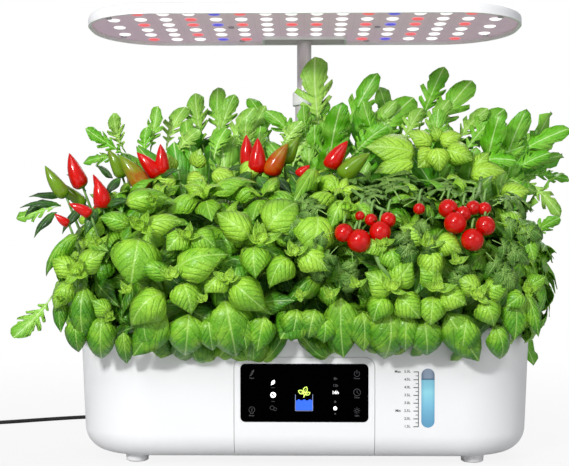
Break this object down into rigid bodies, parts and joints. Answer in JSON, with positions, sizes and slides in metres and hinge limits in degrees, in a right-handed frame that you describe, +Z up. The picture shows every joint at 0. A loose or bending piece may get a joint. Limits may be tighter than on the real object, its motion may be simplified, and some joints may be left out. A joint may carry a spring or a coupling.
{
  "type": "countertop hydroponic garden",
  "caption": "White countertop hydroponic tank with touch panel, level window and planted pods under a grow lamp on a telescopic mast.",
  "frame": {"origin": "on the table, under the middle of the tank", "axes": "+Z up, the front with the touch panel faces -Y, +X runs along the tank towards the level window"},
  "size_m": [0.672, 0.3459, 0.4027],
  "materials": {
    "adapter_black": "fine-grained black plastic",
    "arugula_leaves": "bright green arugula",
    "basil_leaves": "glossy green basil",
    "black_lens": "piano-black touch lens",
    "blade_metal": "plated blade",
    "board_aluminium": "grey coated board",
    "board_green": "solder mask",
    "bracket_grey": "grey clamp block",
    "bush_black": "black bush",
    "clear_window": "clear plastic window",
    "cup_white": "white basket plastic",
    "float_white": "foamed white plastic",
    "impeller_white": "natural white plastic",
    "lead_black": "black flexible jacket",
    "led_blue": "lit blue LED lens",
    "led_red": "lit red LED lens",
    "led_white": "lit white LED lens",
    "mast_aluminium": "satin anodised tube",
    "module_black": "matt black",
    "pad_rubber": "matt grey rubber",
    "pepper_leaves": "dark pepper leaves with upright fruit",
    "pump_black": "matt black plastic",
    "riser_clear": "milky silicone tube",
    "screw_steel": "plain steel",
    "sponge": "brown growing sponge",
    "tie_black": "black strap",
    "tomato_leaves": "dark serrated leaves with small fruit",
    "white_shell": "glossy white moulded plastic"
  },
  "bodies": {
    "garden": {"adapter_blades": "blade_metal", "adapter_relief": "lead_black", "arugula_plant_08": "arugula_leaves", "arugula_plant_10": "arugula_leaves", "arugula_plant_12": "arugula_leaves", "base_cover": "white_shell", "base_screws": "screw_steel", "basil_plant_01": "basil_leaves", "basil_plant_02": "basil_leaves", "basil_plant_03": "basil_leaves", "basil_plant_04": "basil_leaves", "basil_plant_05": "basil_leaves", "basil_plant_06": "basil_leaves", "control_board": "board_green", "control_board_screws": "screw_steel", "control_cover": "white_shell", "cord_coil": "lead_black", "cord_tie": "tie_black", "display_lens": "black_lens", "display_module": "module_black", "fill_lid_pin": "screw_steel", "float_stem": "impeller_white", "foot_pads": "pad_rubber", "grow_deck": "white_shell", "grow_sponges": "sponge", "housing": "white_shell", "level_window": "clear_window", "lower_mast": "mast_aluminium", "mains_adapter": "adapter_black", "mast_collar": "white_shell", "mast_socket": "white_shell", "net_cups": "cup_white", "pepper_plant_07": "pepper_leaves", "pepper_plant_09": "pepper_leaves", "power_cord": "lead_black", "power_inlet": "pump_black", "power_plug": "lead_black", "pump_body": "pump_black", "pump_cover": "pump_black", "pump_feet": "pad_rubber", "pump_lead": "lead_black", "pump_shaft": "screw_steel", "riser_tube": "riser_clear", "tomato_plant_11": "tomato_leaves"},
    "lamp": {"upper_mast": "mast_aluminium", "mast_bush": "bush_black", "mast_bracket": "bracket_grey", "lamp_shell": "white_shell", "led_board": "board_aluminium", "leds_white": "led_white", "leds_red": "led_red", "leds_blue": "led_blue", "lamp_screws": "screw_steel"},
    "fill_lid": {"fill_lid": "white_shell"},
    "pump_impeller": {"pump_impeller": "impeller_white"},
    "level_float": {"level_float": "float_white"}
  },
  "joints": [
    {"name": "lamp_height", "type": "slide", "parent": "garden", "child": "lamp", "axis": [0, 0, 1], "range_m": [-0.015, 0.18]},
    {"name": "fill_lid_hinge", "type": "hinge", "parent": "garden", "child": "fill_lid", "pos_m": [0.098, 0.0872, 0.1211], "axis": [-1, 0, 0], "range_deg": [0, 100]},
    {"name": "impeller_spin", "type": "hinge", "parent": "garden", "child": "pump_impeller", "pos_m": [-0.12, 0.005, 0.0295], "axis": [1, 0, 0], "continuous": true},
    {"name": "float_travel", "type": "slide", "parent": "garden", "child": "level_float", "axis": [0, 0, 1], "range_m": [-0.03, 0]}
  ]
}
